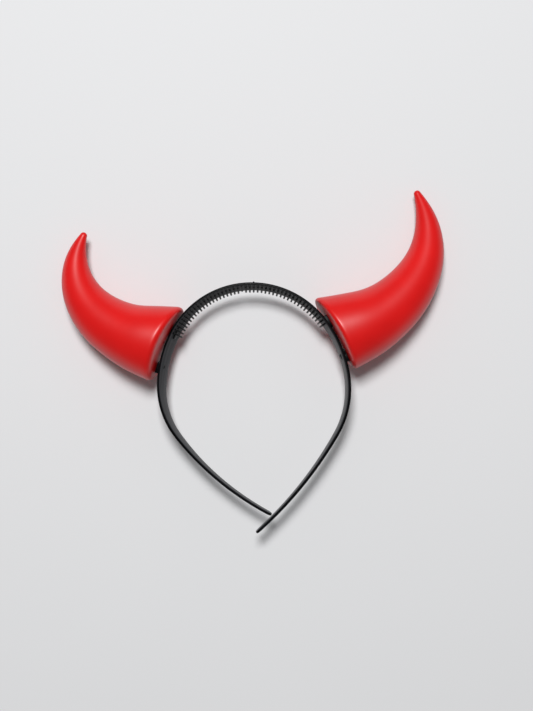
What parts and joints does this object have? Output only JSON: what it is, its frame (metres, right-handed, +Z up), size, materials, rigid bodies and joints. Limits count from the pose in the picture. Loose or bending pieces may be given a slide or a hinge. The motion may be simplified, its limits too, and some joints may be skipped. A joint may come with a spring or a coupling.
{
  "type": "devil horns headband",
  "caption": "Springy black plastic comb headband with hollow, curved red devil horns clipped to its outer face, lying on a table.",
  "frame": {"origin": "middle of the bounding box in plan, on the table that the object lies on", "axes": "+X to the right horn as seen in the picture, +Y from the ends of the band to its crown, +Z up from the table"},
  "size_m": [0.232, 0.2074, 0.0418],
  "materials": {
    "black_plastic": "moulded black plastic with a soft sheen and rounded edges",
    "red_plastic": "satin red plastic with a broad soft highlight and slight moulding marks"
  },
  "bodies": {
    "root": {"headband": "black_plastic", "horn_left": "red_plastic", "horn_right": "red_plastic"}
  },
  "joints": []
}
